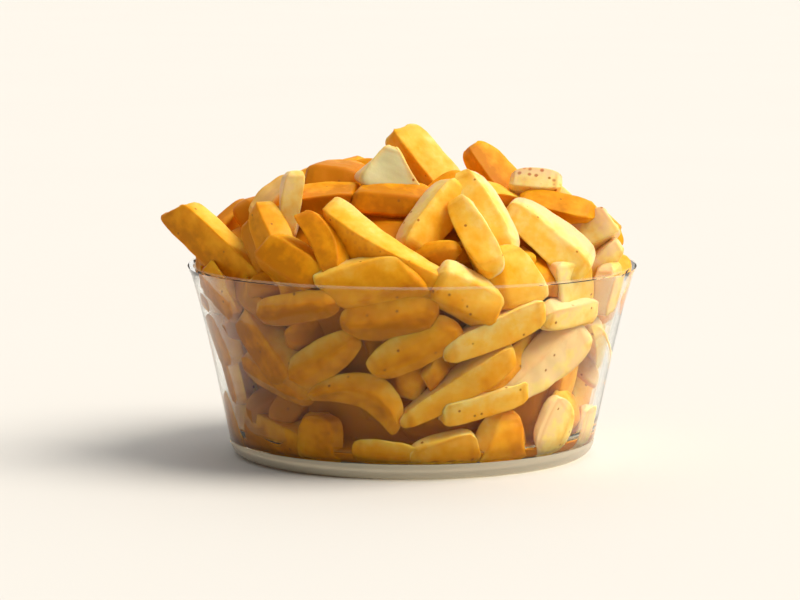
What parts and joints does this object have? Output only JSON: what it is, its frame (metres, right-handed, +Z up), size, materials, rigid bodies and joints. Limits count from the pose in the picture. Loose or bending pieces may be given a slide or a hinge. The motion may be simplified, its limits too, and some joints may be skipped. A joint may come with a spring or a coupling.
{
  "type": "bowl of thick-cut potato crisps",
  "caption": "Round clear glass serving bowl with a flared wall, heaped above its rim with thick-cut golden fried potato crisps.",
  "frame": {"origin": "middle of the bowl's flat underside", "axes": "+Z up along the bowl's axis, -Y towards the front as pictured"},
  "size_m": [0.2122, 0.2008, 0.1493],
  "materials": {
    "clear_glass": "polished",
    "fried_potato": "satin"
  },
  "bodies": {
    "root": {"glass_bowl": "clear_glass", "crisps": "fried_potato"}
  },
  "joints": []
}
